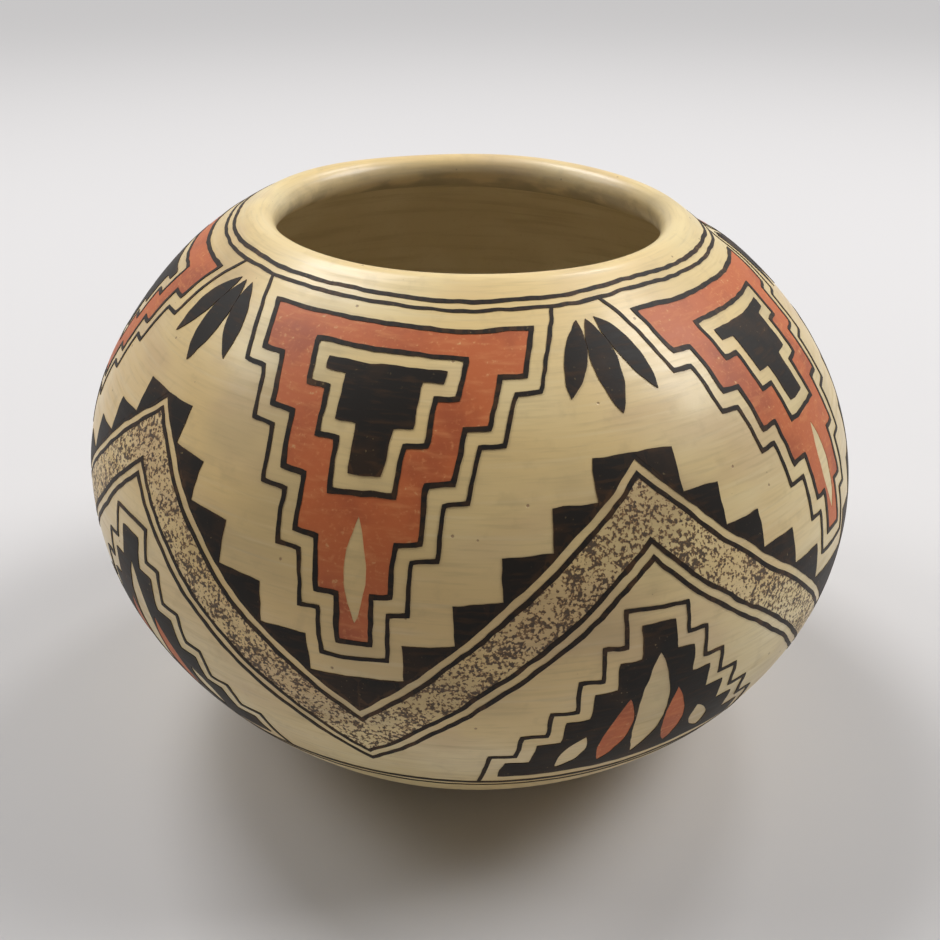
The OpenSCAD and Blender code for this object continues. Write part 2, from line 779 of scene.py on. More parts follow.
@dataclass(frozen=True)
class SlipFinish:
    """Stone-polished cream slip with blushes from the fire, a painted warm shade on the belly's left half and
    a rim lightened as painted light; sizes are in millimetres.
    """

    cream: Colour = srgb(227, 206, 153)
    pale: Colour = srgb(238, 223, 182)
    blush_and_warm_shade: Colour = srgb(222, 180, 106)
    # Gold of the lip, made paler: partly the lip's own yellow tone, partly painted light on the jar's top.
    gold_with_painted_light: Colour = srgb(244, 221, 160)
    rose: Colour = srgb(196, 162, 122)
    smoke: Colour = srgb(168, 146, 104)
    speck: Colour = srgb(112, 68, 42)
    rubbed: Colour = srgb(184, 152, 110)
    cloud: Grain = Grain((44.0, 44.0, 26.0), 3.0)
    pale_clouds: Veil = Veil(0.44, 0.68, 0.75)
    smoke_clouds: Veil = Veil(0.30, 0.47, 0.42)
    fire: Grain = Grain((60.0, 60.0, 36.0), 2.0)
    fire_spots: Veil = Veil(0.40, 0.62)
    blush_share: float = 0.34
    flush: Grain = Grain((31.0, 31.0, 17.0), 3.0, banded=True)
    rose_flush: Veil = Veil(0.50, 0.70, 0.40)
    streak: Grain = Grain((38.0, 38.0, 1.5), 3.0, banded=True)
    smoke_streaks: Veil = Veil(0.54, 0.78, 0.18)
    pale_streaks: Veil = Veil(0.26, 0.46, 0.18)
    matt_streaks: Veil = Veil(0.42, 0.75, 0.16)
    mottle: Grain = Grain(4.2, 5.0)
    smoke_mottle: Veil = Veil(0.54, 0.76, 0.22)
    matt_mottle: float = 0.10
    brush: Grain = Grain((9.0, 9.0, 0.7), 3.0, banded=True)
    smoke_brush: Veil = Veil(0.46, 0.76, 0.24)
    pits: Specks = Specks(4.2, 0.085, 0.36)
    pit_share: float = 0.62
    dots: Specks = Specks(2.6, 0.075, 0.16)
    dot_share: float = 0.45
    # Painted warm shade: the blush tone over the belly's left half between these heights, standing in for the
    # warm tone of shade there.
    warm_shade_side: Veil = Veil(5.0, 60.0, 0.38)
    warm_shade_from: Veil = Veil(44.0, 76.0)
    warm_shade_to: Veil = Veil(100.0, 115.0)
    rim: Veil = Veil(98.0, 120.0)
    rim_blush: float = 0.26
    rim_warmth: float = 0.05
    rim_gold_with_painted_light: float = 0.34
    foot: float = WallSection().base_s
    standing: Veil = Veil(0.3, 2.6)
    ring: Span = (-30.0, -9.0)
    inside_ring: float = 0.30
    scuff: Grain = Grain((4.0, 0.9, 4.0), 4.0)
    scuffed: Veil = Veil(0.40, 0.62, 0.36)
    rub_share: float = 0.22
    roughness: float = 0.34
    coat: float = 0.22
    coat_roughness: float = 0.17
    relief: tuple[float, ...] = (0.5, 0.3, 0.2, -1.6)
    depth: float = 0.05

    def ground(self, shader: Shader) -> Ground:
        """Lays the slip in a shader, for a coat of its own or under paint.

        Args:
            shader: The shader to lay it in.

        Returns:
            The slip's colour, roughness and surface.
        """
        cloud, streak, mottle = (shader.noise(grain) for grain in (self.cloud, self.streak, self.mottle))
        fire, brush = self.fire_spots.over(shader.noise(self.fire)), shader.noise(self.brush)
        across, _, height = shader.axes
        pits, at_rim = shader.specks(self.pits), self.rim.over(height)
        # Painted warm shade: a blush tint over the belly's left half, fading out to the right, that stands in
        # for the warm tone of shade and is no fire mark.
        painted_warm_shade = self.warm_shade_side.under(across) * self.warm_shade_from.over(height) * self.warm_shade_to.under(height)
        on_ring = shader.attribute(SKIN).step(*(self.foot + reach for reach in self.ring))
        at_foot = self.standing.under(height) * (self.inside_ring + (1.0 - self.inside_ring) * on_ring)
        scuff = (shader.noise(self.scuff) + mottle) * 0.5
        colour = shader.layers(
            self.cream,
            (self.pale, self.pale_clouds.over(cloud)),
            (self.blush_and_warm_shade, fire * (self.blush_share + self.rim_blush * at_rim) + self.rim_warmth * at_rim),
            # Golden rim: the lip's own yellow tone, lightened as painted light on the top of the jar.
            (self.gold_with_painted_light, self.rim_gold_with_painted_light * at_rim),
            (self.blush_and_warm_shade, painted_warm_shade),
            (self.rose, self.rose_flush.over(shader.noise(self.flush))),
            (self.smoke, self.smoke_clouds.under(cloud)),
            (self.smoke, self.smoke_streaks.over(streak)),
            (self.pale, self.pale_streaks.under(streak)),
            (self.smoke, self.smoke_mottle.over(mottle)),
            (self.smoke, self.smoke_brush.over(brush)),
            (self.rubbed, at_foot * (self.rub_share + self.scuffed.over(scuff))),
            (self.speck, self.pit_share * pits),
            (self.speck, self.dot_share * shader.specks(self.dots)),
        )
        roughness = self.roughness + self.matt_streaks.over(streak) + self.matt_mottle * mottle
        return Ground(colour, roughness, shader.total((streak, mottle, brush, pits), self.relief))

    def material(self) -> bpy.types.Material:
        """The slip on bare wall.

        Returns:
            Its material.
        """
        shader = Shader("polished_slip")
        ground = self.ground(shader)
        return shader.dress(
            {
                "Base Color": ground.colour,
                "Roughness": ground.roughness,
                "Coat Weight": self.coat,
                "Coat Roughness": self.coat_roughness,
                "Normal": shader.bump(ground.height, self.depth),
            }
        )


@dataclass(frozen=True)
class BareClayFinish:
    """Scraped, bare clay of the inside, with the slip's ragged edge in the mouth; sizes in millimetres."""

    section: WallSection
    clay: Colour = srgb(216, 201, 168)
    pale: Colour = srgb(226, 213, 184)
    dark: Colour = srgb(186, 168, 134)
    smudge: Colour = srgb(120, 108, 86)
    rings: Grain = Grain((30.0, 30.0, 3.2), 4.0, banded=True)
    smear: Grain = Grain((13.0, 4.0, 4.0), 4.0)
    patch: Grain = Grain(26.0, 4.0)
    grain: Grain = Grain(1.1, 3.0)
    floor_zone: Span = (-20.0, 4.0)
    pale_patches: Veil = Veil(0.40, 0.68, 0.8)
    dark_scrapes: Veil = Veil(0.46, 0.74, 0.45)
    dark_grain: Veil = Veil(0.58, 0.80, 0.30)
    slip_reach: float = 0.5
    slip_fade: float = 5.0
    smudge_fade: float = 6.5
    raggedness: tuple[float, ...] = (5.0, 11.0, 9.0)
    smudged: Veil = Veil(0.42, 0.62, 0.55)
    stain_from: float = 1.0
    stained: Veil = Veil(0.44, 0.62, 0.36)
    washed: float = 0.65
    slip_roughness: float = 0.38
    bare_roughness: float = 0.87
    relief: tuple[float, ...] = (0.8, 0.2)
    depth: float = 0.16
    slip: SlipFinish = SlipFinish()

    def material(self) -> bpy.types.Material:
        """The clay of the inner face and of the joints.

        Returns:
            Its material.
        """
        shader, section = Shader("bare_clay"), self.section
        skin = shader.attribute(SKIN)
        rings, smear, patch, grain = (
            shader.noise(each) for each in (self.rings, self.smear, self.patch, self.grain)
        )
        on_floor = skin.step(*(section.floor_edge + reach for reach in self.floor_zone))
        scrape = rings + (smear - rings) * on_floor
        ragged = skin + shader.total((scrape, patch, smear), self.raggedness) - 0.5 * sum(self.raggedness)
        slip_end = section.mouth + self.slip_reach + self.slip_fade
        bare = ragged.step(slip_end - self.slip_fade, slip_end)
        near_lip = 1.0 - ragged.step(slip_end, slip_end + self.smudge_fade)
        below_top = skin.step(section.lip_top + self.stain_from, section.lip_end)
        clay = shader.layers(
            self.clay,
            (self.pale, self.pale_patches.over(patch)),
            (self.dark, self.dark_scrapes.over(scrape)),
            (self.dark, self.dark_grain.over(grain)),
            (self.smudge, near_lip * self.smudged.over(patch)),
        )
        slip = shader.layers(
            self.slip.ground(shader).colour,
            (self.pale, self.washed * below_top),
            (self.smudge, below_top * self.stained.over(smear)),
        )
        return shader.dress(
            {
                "Base Color": shader.mix(slip, clay, bare),
                "Roughness": self.slip_roughness + (self.bare_roughness - self.slip_roughness) * bare,
                "Coat Weight": self.slip.coat * (1.0 - bare),
                "Coat Roughness": self.slip.coat_roughness,
                "Normal": shader.bump(shader.total((scrape, grain), self.relief), self.depth),
            }
        )


@dataclass(frozen=True)
class BlackPaintFinish:
    """Thin plant and mineral black, brown at its edges and where the brush ran dry."""

    black: Colour = srgb(25, 20, 15)
    brown: Colour = srgb(72, 50, 31)
    stroke: Grain = Grain((6.0, 6.0, 1.1), 3.0, banded=True)
    cloud: Grain = Grain(8.0, 3.0)
    grain: Grain = Grain(0.7, 2.0)
    edge: Veil = Veil(0.62, 1.0)
    dry_strokes: Veil = Veil(0.50, 0.74, 0.40)
    thin_clouds: Veil = Veil(0.48, 0.70)
    cloud_share: float = 0.25
    cloud_at_edge: float = 0.45
    edge_share: float = 0.20
    worn_grain: Veil = Veil(0.67, 0.80)
    worn_clouds: Veil = Veil(0.40, 0.65, 0.32)
    roughness: float = 0.44
    stroke_roughness: float = 0.18
    shine: float = 0.19
    relief: tuple[float, ...] = (0.6, 0.4)
    depth: float = 0.03
    slip: SlipFinish = SlipFinish()

    def material(self) -> bpy.types.Material:
        """The black coat over the slip.

        Returns:
            Its material.
        """
        shader = Shader("black_paint")
        stroke, cloud, grain = (shader.noise(each) for each in (self.stroke, self.cloud, self.grain))
        edge = self.edge.over(shader.attribute(EDGE))
        thin = self.dry_strokes.over(stroke) + self.edge_share * edge
        thin += self.thin_clouds.over(cloud) * (self.cloud_share + self.cloud_at_edge * edge)
        worn = self.worn_grain.over(grain) * self.worn_clouds.over(cloud)
        colour = shader.layers(self.black, (self.brown, thin), (self.slip.ground(shader).colour, worn))
        return shader.dress(
            {
                "Base Color": colour,
                "Roughness": self.roughness + self.stroke_roughness * stroke,
                "Specular IOR Level": self.shine,
                "Normal": shader.bump(shader.total((stroke, grain), self.relief), self.depth),
            }
        )


@dataclass(frozen=True)
class RedPaintFinish:
    """Iron red, mottled by the brush and rubbed through in small scratches."""

    red: Colour = srgb(195, 103, 56)
    deep: Colour = srgb(160, 77, 42)
    light: Colour = srgb(216, 138, 84)
    stroke: Grain = Grain((5.0, 5.0, 1.2), 3.0, banded=True)
    cloud: Grain = Grain(11.0, 4.0)
    grain: Grain = Grain(0.8, 3.0)
    edge: Veil = Veil(0.55, 1.0)
    deep_clouds: Veil = Veil(0.44, 0.68, 0.75)
    light_strokes: Veil = Veil(0.48, 0.76, 0.50)
    light_grain: Veil = Veil(0.54, 0.74, 0.45)
    worn_grain: Veil = Veil(0.62, 0.76)
    worn_strokes: Veil = Veil(0.46, 0.66, 0.60)
    worn_edge: Veil = Veil(0.56, 0.72, 0.40)
    roughness: float = 0.44
    stroke_roughness: float = 0.16
    shine: float = 0.40
    relief: tuple[float, ...] = (0.5, 0.5)
    depth: float = 0.03
    slip: SlipFinish = SlipFinish()

    def material(self) -> bpy.types.Material:
        """The red coat over the slip.

        Returns:
            Its material.
        """
        shader = Shader("red_paint")
        stroke, cloud, grain = (shader.noise(each) for each in (self.stroke, self.cloud, self.grain))
        edge = self.edge.over(shader.attribute(EDGE))
        worn = self.worn_grain.over(grain) * self.worn_strokes.over(stroke)
        worn += edge * self.worn_edge.over(grain)
        colour = shader.layers(
            self.red,
            (self.deep, self.deep_clouds.over(cloud)),
            (self.light, self.light_strokes.over(stroke)),
            (self.light, self.light_grain.over(grain)),
            (self.slip.ground(shader).colour, worn),
        )
        return shader.dress(
            {
                "Base Color": colour,
                "Roughness": self.roughness + self.stroke_roughness * stroke,
                "Specular IOR Level": self.shine,
                "Normal": shader.bump(shader.total((stroke, grain), self.relief), self.depth),
            }
        )


@dataclass(frozen=True)
class SpatterFinish:
    """Brown spatter, fine drops in clumps over the cream."""

    brown: Colour = srgb(50, 32, 19)
    tan: Colour = srgb(132, 94, 52)
    drop: Grain = Grain(0.72, 2.5)
    fine: Grain = Grain(0.34, 1.0)
    clump: Grain = Grain(3.2, 2.0)
    weights: tuple[float, ...] = (0.62, 0.20, 0.30)
    drops: Veil = Veil(0.540, 0.592)
    thick: Veil = Veil(0.565, 0.645)
    cover: float = 0.94
    drop_roughness: float = 0.14
    depth: float = 0.02
    slip: SlipFinish = SlipFinish()

    def material(self) -> bpy.types.Material:
        """The spattered coat over the slip.

        Returns:
            Its material.
        """
        shader = Shader("spatter_paint")
        ground = self.slip.ground(shader)
        noises = [shader.noise(grain) for grain in (self.drop, self.fine, self.clump)]
        level = shader.total(noises, self.weights)
        mask = self.drops.over(level)
        paint = shader.mix(self.tan, self.brown, self.thick.over(level))
        return shader.dress(
            {
                "Base Color": shader.mix(ground.colour, paint, self.cover * mask),
                "Roughness": ground.roughness + self.drop_roughness * mask,
                "Normal": shader.bump(mask, self.depth),
            }
        )


@dataclass
class JarWall:
    """The clay of the jar: base, ring coils and rim coil."""

    surface: JarSurface
    slip: bpy.types.Material
    clay: bpy.types.Material
    columns: int = 288
    outer_pitch: float = 1.3
    inner_pitch: float = 2.0
    rim_pitch: float = 0.8
    weld: float = 0.001

    def run(self, start: float, end: float, pitch: float) -> Array:
        """Skin lengths from one place to another, no further apart than a pitch."""
        return np.linspace(start, end, max(2, math.ceil(abs(end - start) / pitch) + 1))

    def outlines(self) -> Iterable[tuple[str, Array, bool]]:
        """Sections of the pieces.

        Yields:
            A piece's name, the skin lengths of its section and whether its section closes.
        """
        section = self.surface.section
        top = section.joint_s(1)
        base = np.concatenate(
            (
                self.run(section.underside_middle, top, self.outer_pitch),
                self.run(section.inner(top - section.lap), section.floor_middle, self.inner_pitch),
            )
        )
        yield "base", base, False
        for course in range(1, section.coils + 1):
            foot, top = section.joint_s(course), section.joint_s(course + 1)
            outside = self.run(foot, top, self.outer_pitch)
            inside = self.run(
                section.inner(top - section.lap), section.inner(foot - section.lap), self.inner_pitch
            )
            yield f"coil_{course}", np.concatenate((outside, inside)), True
        foot = section.joint_s(section.coils + 1)
        yield "rim_coil", self.run(foot, section.inner(foot - section.lap), self.rim_pitch), True

    def build(self) -> Iterable[bpy.types.Object]:
        """Makes the pieces of the wall, one after another.

        Yields:
            Each finished piece.
        """
        for node, lengths, closed in self.outlines():
            piece = self.build_piece(node, lengths, closed)
            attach(piece, ROOT)
            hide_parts(node)
            yield piece

    def build_piece(self, node: str, lengths: Array, closed: bool) -> bpy.types.Object:
        """Spins one piece's section round the axis and moulds it to the jar.

        Args:
            node: Name of the solid that the piece stands for.
            lengths: Skin lengths of its section's points, in order.
            closed: Whether the last point joins the first.

        Returns:
            The finished piece.
        """
        shape = bmesh.new()
        mark = shape.verts.layers.float.new(SKIN)
        outline = []
        for length, radius, height in zip(lengths, *self.surface.section.skin(lengths)):
            outline.append(shape.verts.new((radius, 0.0, height)))
            outline[-1][mark] = length
        pairs = list(zip(outline, outline[1:])) + ([(outline[-1], outline[0])] if closed else [])
        edges = [shape.edges.new(pair) for pair in pairs]
        bmesh.ops.spin(
            shape,
            geom=outline + edges,
            cent=(0.0, 0.0, 0.0),
            axis=(0.0, 0.0, 1.0),
            angle=math.tau,
            steps=self.columns,
            use_merge=True,
        )
        bmesh.ops.remove_doubles(shape, verts=shape.verts[:], dist=self.weld)
        bmesh.ops.recalc_face_normals(shape, faces=shape.faces[:])
        self.mark_finishes(shape, mark)
        mesh = bpy.data.meshes.new(f"wall_{node}")
        phi = np.array([math.atan2(v.co.y, v.co.x) for v in shape.verts])
        q = np.array([v[mark] for v in shape.verts])
        shape.to_mesh(mesh)
        shape.free()
        self.surface.mould(mesh, phi, q, np.zeros_like(q))
        mesh.materials.append(self.slip)
        mesh.materials.append(self.clay)
        piece = bpy.data.objects.new(f"wall_{node}", mesh)
        bpy.context.scene.collection.objects.link(piece)
        return piece

    def mark_finishes(self, shape: bmesh.types.BMesh, mark: bmesh.types.BMLayerItem) -> None:
        """Gives the faces up to the lip's top the slip, and the inner faces and the joints the clay."""
        for face in shape.faces:
            face.material_index = int(max(v[mark] for v in face.verts) > self.surface.section.lip_top)


@dataclass
class Shape:
    """One painted shape on the unrolled wall: an outline with holes."""

    paint: Paint
    outline: Loop
    holes: list[Loop] = field(default_factory=list)


@dataclass(frozen=True)
class UnrolledWall:
    """The outer face laid flat: across is the angle times the belly's radius, up is the length up it."""

    section: WallSection
    pitch: float = 1.2
    corner_rounding: float = 0.2

    def dense(self, loop: Loop) -> Loop:
        """Fills a loop up with points.

        Args:
            loop: The loop's corners.

        Returns:
            The loop, with points no further apart than the pitch.
        """
        points: Loop = []
        for (x0, y0), (x1, y1) in zip(loop, loop[1:] + loop[:1]):
            count = max(1, math.ceil(math.hypot(x1 - x0, y1 - y0) / self.pitch))
            points += [(x0 + (x1 - x0) * i / count, y0 + (y1 - y0) * i / count) for i in range(count)]
        return points

    def angular(self, loop: Loop) -> Loop:
        """Flat places of a loop that is drawn in degrees round the jar and drops from the lip."""
        flat = [(math.radians(angle) * self.section.belly_r, -drop) for angle, drop in loop]
        return self.dense(flat)

    def local(self, loop: Loop, centre: float) -> Loop:
        """Flat places of a loop that is drawn in millimetres about an upright line.

        Args:
            loop: Points as distance to the right of the line and drop from the lip.
            centre: Angle of the line, in degrees.

        Returns:
            The loop, with its corners rounded as a brush rounds them.
        """
        points = np.array(self.dense(loop))
        beside = (np.roll(points, 1, axis=0) + np.roll(points, -1, axis=0)) / 2
        across, drop = (points + (beside - points) * self.corner_rounding).T
        radius, _ = self.section.skin(self.section.lip_s - drop)
        angle = math.radians(centre) + across / radius
        return list(zip(angle * self.section.belly_r, -drop))


def offset(path: Loop, distance: float, closed: bool = True) -> Loop:
    """A path moved sideways with mitred corners.

    Args:
        path: The path's points.
        distance: How far it moves to the left of its way.
        closed: Whether the last point joins the first.

    Returns:
        The moved path.
    """
    points = np.array(path)
    ways = np.roll(points, -1, axis=0) - points
    ways /= np.linalg.norm(ways, axis=1, keepdims=True)
    after = np.column_stack((-ways[:, 1], ways[:, 0]))
    before = np.roll(after, 1, axis=0)
    if not closed:
        before[0], after[-1] = after[0], before[-1]
    mitre = (before + after) / (1.0 + np.sum(before * after, axis=1, keepdims=True))
    return [tuple(point) for point in points + mitre * distance]


def stroke(path: Loop, width: float) -> Loop:
    """Outline of a brush line of one width along an open path."""
    return offset(path, width / 2, False) + offset(path, -width / 2, False)[::-1]


def steps(widths: Sequence[float], first: float, rise: float, grow: float = 0.0) -> Loop:
    """Right-hand edge of a stepped shape.

    Args:
        widths: Half width of each step, in order downwards.
        first: Drop at which the first step starts.
        rise: Height of a step.
        grow: How far the edge lies outside the shape.

    Returns:
        The edge's points, downwards.
    """
    edge: Loop = []
    for i, width in enumerate(widths):
        widens_below = i + 1 < len(widths) and widths[i + 1] > width
        widens_above = i > 0 and width > widths[i - 1]
        edge.append((width + grow, first + rise * i + (-grow if widens_above else grow if i else 0.0)))
        edge.append((width + grow, first + rise * (i + 1) + (-grow if widens_below else grow)))
    return edge


def mirrored(edge: Loop) -> Loop:
    """Outline of a shape that is the same on both sides, from its right-hand edge."""
    return edge + [(-x, drop) for x, drop in reversed(edge)]


def leaf(start: Point, end: Point, width: float, points: int = 10) -> Loop:
    """Outline of a pointed leaf between two tips.

    Args:
        start: One tip.
        end: The other tip.
        width: Width at the middle.
        points: Steps from tip to tip.

    Returns:
        The leaf's outline.
    """
    (x0, y0), (x1, y1) = start, end
    along = (x1 - x0, y1 - y0)
    side = (-along[1] / math.hypot(*along), along[0] / math.hypot(*along))
    right, left = [], []
    for t in (i / points for i in range(points + 1)):
        for edge, bulge in ((right, 2.0 * width * t * (1.0 - t)), (left, -2.0 * width * t * (1.0 - t))):
            edge.append((x0 + along[0] * t + side[0] * bulge, y0 + along[1] * t + side[1] * bulge))
    return right + left[-2:0:-1]


@dataclass(frozen=True)
class FrameLines:
    """Lines round the neck and round the lower wall that frame the painted band."""

    half_turn: float
    lines: tuple[Point, ...] = ((3.9, 0.9), (6.0, 0.8), (110.6, 1.2), (113.2, 0.8))

    def shapes(self, wall: UnrolledWall) -> list[Shape]:
        """One repeat of the lines.

        Args:
            wall: The unrolled wall to draw on.

        Returns:
            The lines.
        """
        turn = self.half_turn
        return [
            Shape(
                Paint.BLACK,
                wall.angular(
                    [
                        (-turn, drop - width / 2),
                        (-turn, drop + width / 2),
                        (turn, drop + width / 2),
                        (turn, drop - width / 2),
                    ]
                ),
            )
            for drop, width in self.lines
        ]


@dataclass(frozen=True)
class ZigzagRibbon:
    """A spattered ribbon between double lines, in zigzag round the belly, with a stair of black corners."""

    half_turn: float
    peak: float = 36.5
    valley: float = 84.5
    lines: tuple[float, ...] = (0.0, 3.1, 14.4, 17.5)
    line: float = 1.25
    stairs: int = 6

    def strip(self, wall: UnrolledWall, upper: float, lower: float) -> Loop:
        """One repeat of a strip along the ribbon.

        Args:
            wall: The unrolled wall to draw on.
            upper: Distance of its upper edge below the ribbon's.
            lower: Distance of its lower edge below the ribbon's upper one.

        Returns:
            The strip's outline.
        """
        turn = self.half_turn
        top = [(-turn, self.peak + upper), (0.0, self.valley + upper), (turn, self.peak + upper)]
        foot = [(turn, self.peak + lower), (0.0, self.valley + lower), (-turn, self.peak + lower)]
        return wall.angular((top + foot)[::-1])

    def stair(self, wall: UnrolledWall, number: int, side: float) -> Loop:
        """One black corner on the ribbon's upper line.

        Args:
            wall: The unrolled wall.
            number: Which corner, counted from the valley.
            side: 1 for the right-hand slope and -1 for the left-hand one.

        Returns:
            The corner's outline.
        """
        run, rise = self.half_turn / self.stairs, (self.valley - self.peak) / self.stairs
        low = (run * number, self.valley - rise * number)
        high = (run * (number + 1), self.valley - rise * (number + 1) - self.line / 2)
        corner = [low, (low[0], high[1]), high]
        return wall.angular([(side * angle, drop) for angle, drop in corner])

    def shapes(self, wall: UnrolledWall) -> list[Shape]:
        """One repeat of the ribbon.

        Args:
            wall: The unrolled wall to draw on.

        Returns:
            The spattered strip, the lines and the stair.
        """
        half = self.line / 2
        made = [Shape(Paint.SPATTER, self.strip(wall, self.lines[1], self.lines[2]))]
        made += [Shape(Paint.BLACK, self.strip(wall, at - half, at + half)) for at in self.lines]
        made += [
            Shape(Paint.BLACK, self.stair(wall, number, side))
            for number in range(self.stairs)
            for side in (-1.0, 1.0)
        ]
        return made


@dataclass(frozen=True)
class HangingTerrace:
    """A red stepped terrace that hangs from the neck, with a window, a black core and a cream leaf."""

    centre: float
    first: float = 10.4
    rise: float = 9.6
    widths: tuple[float, ...] = (25.0, 20.5, 16.0, 11.5, 7.0, 3.2)
    window_first: float = 16.0
    window_rise: float = 8.4
    window: tuple[float, ...] = (14.2, 10.2, 6.2)
    window_border: float = 2.9
    leaf_top: float = 44.6
    leaf_tip: float = 64.0
    leaf_width: float = 4.0
    line: float = 0.95
    echo: float = 3.3
    echo_line: float = 0.8
    echo_from: float = 6.0

    def shapes(self, wall: UnrolledWall) -> list[Shape]:
        """The terrace.

        Args:
            wall: The unrolled wall to draw on.

        Returns:
            Its body, its outlines, its core and the line that follows its steps.
        """
        body = mirrored(steps(self.widths, self.first, self.rise))
        window = mirrored(steps(self.window, self.window_first, self.window_rise))
        core = offset(window, self.window_border)
        slit = leaf((0.0, self.leaf_top), (0.0, self.leaf_tip), self.leaf_width)
        follow = steps(self.widths, self.first, self.rise, self.echo)
        follow[0] = (follow[0][0], self.echo_from)
        openings = [wall.local(loop, self.centre) for loop in (window, slit)]
        made = [Shape(Paint.RED, wall.local(body, self.centre), openings)]
        for loop in (body, window):
            rim = [wall.local(offset(loop, side * self.line / 2), self.centre) for side in (-1.0, 1.0)]
            made.append(Shape(Paint.BLACK, rim[0], [rim[1]]))
        made.append(Shape(Paint.BLACK, wall.local(core, self.centre)))
        made.append(Shape(Paint.BLACK, wall.local(stroke(mirrored(follow), self.echo_line), self.centre)))
        return made


@dataclass(frozen=True)
class StandingTerrace:
    """A black stepped terrace that stands on the lower lines, with a fan of cream and red leaves in it."""

    centre: float
    first: float = 66.0
    rise: float = 6.8
    widths: tuple[float, ...] = (3.5, 8.0, 12.5, 17.0, 21.5, 26.0)
    leaf_foot: float = 103.6
    middle_leaf: tuple[float, float] = (72.0, 6.8)
    red_leaf: tuple[float, float, float, float] = (5.2, 7.4, 82.5, 5.0)
    outer_leaf: tuple[float, float, float, float] = (12.2, 15.6, 92.0, 4.6)
    echo: float = 2.9
    echo_line: float = 0.8
    echo_to: float = 110.6

    def leaves(self, shape: tuple[float, float, float, float]) -> list[Loop]:
        """Two leaves beside the middle: distances out at tip and foot, the tip's drop and the width."""
        tip, foot, drop, width = shape
        return [leaf((side * tip, drop), (side * foot, self.leaf_foot), width) for side in (-1.0, 1.0)]

    def shapes(self, wall: UnrolledWall) -> list[Shape]:
        """The terrace.

        Args:
            wall: The unrolled wall to draw on.

        Returns:
            Its red leaves, its body and the line that follows its steps.
        """
        body = mirrored(steps(self.widths, self.first, self.rise))
        top, width = self.middle_leaf
        red = [wall.local(loop, self.centre) for loop in self.leaves(self.red_leaf)]
        cream = [leaf((0.0, top), (0.0, self.leaf_foot), width), *self.leaves(self.outer_leaf)]
        openings = red + [wall.local(loop, self.centre) for loop in cream]
        follow = steps(self.widths, self.first, self.rise, self.echo)
        follow[0] = (follow[0][0], self.first - self.echo)
        follow[-1] = (follow[-1][0], self.echo_to)
        path = [(-x, drop) for x, drop in reversed(follow)] + follow
        return [
            *(Shape(Paint.RED, loop) for loop in red),
            Shape(Paint.BLACK, wall.local(body, self.centre), openings),
            Shape(Paint.BLACK, wall.local(stroke(path, self.echo_line), self.centre)),
        ]


@dataclass(frozen=True)
class NeckLeaves:
    """Three slim black leaves that fan out between two hanging terraces."""

    centre: float
    top: float = 9.4
    middle: tuple[float, float] = (29.0, 5.2)
    outer: tuple[float, float, float, float] = (1.7, 8.6, 25.5, 4.2)

    def shapes(self, wall: UnrolledWall) -> list[Shape]:
        """The three leaves.

        Args:
            wall: The unrolled wall to draw on.

        Returns:
            The middle leaf and the outer ones.
        """
        tip, width = self.middle
        near, far, outer_tip, outer_width = self.outer
        loops = [leaf((0.0, self.top), (0.0, tip), width)]
        for side in (-1.0, 1.0):
            loops.append(leaf((side * near, self.top), (side * far, outer_tip), outer_width))
        return [Shape(Paint.BLACK, wall.local(loop, self.centre)) for loop in loops]


@dataclass(frozen=True)
class Tremor:
    """The unsteadiness of a painter's hand: waves of some lengths and sizes, in millimetres."""

    waves: tuple[Point, ...] = ((55.0, 0.50), (14.0, 0.12), (6.0, 0.05), (3.2, 0.05))
    count: int = 10
    seed: int = 41

    def drift(self, points: Array) -> Array:
        """How far a brush strays at some places.

        Args:
            points: Places on the wall in millimetres, one row each.

        Returns:
            Strays sideways and along the wall, one row each.
        """
        rng = np.random.default_rng(self.seed)
        stray = np.zeros((len(points), 2))
        for length, size in self.waves:
            for axis in (0, 1):
                ways = rng.normal(size=(self.count, 3))
                ways *= math.tau / length / np.linalg.norm(ways, axis=1, keepdims=True)
                shifts = rng.uniform(0.0, math.tau, self.count)
                swing = np.cos(points @ ways.T + shifts).sum(axis=1)
                stray[:, axis] += size * math.sqrt(2.0 / self.count) * swing
        return stray


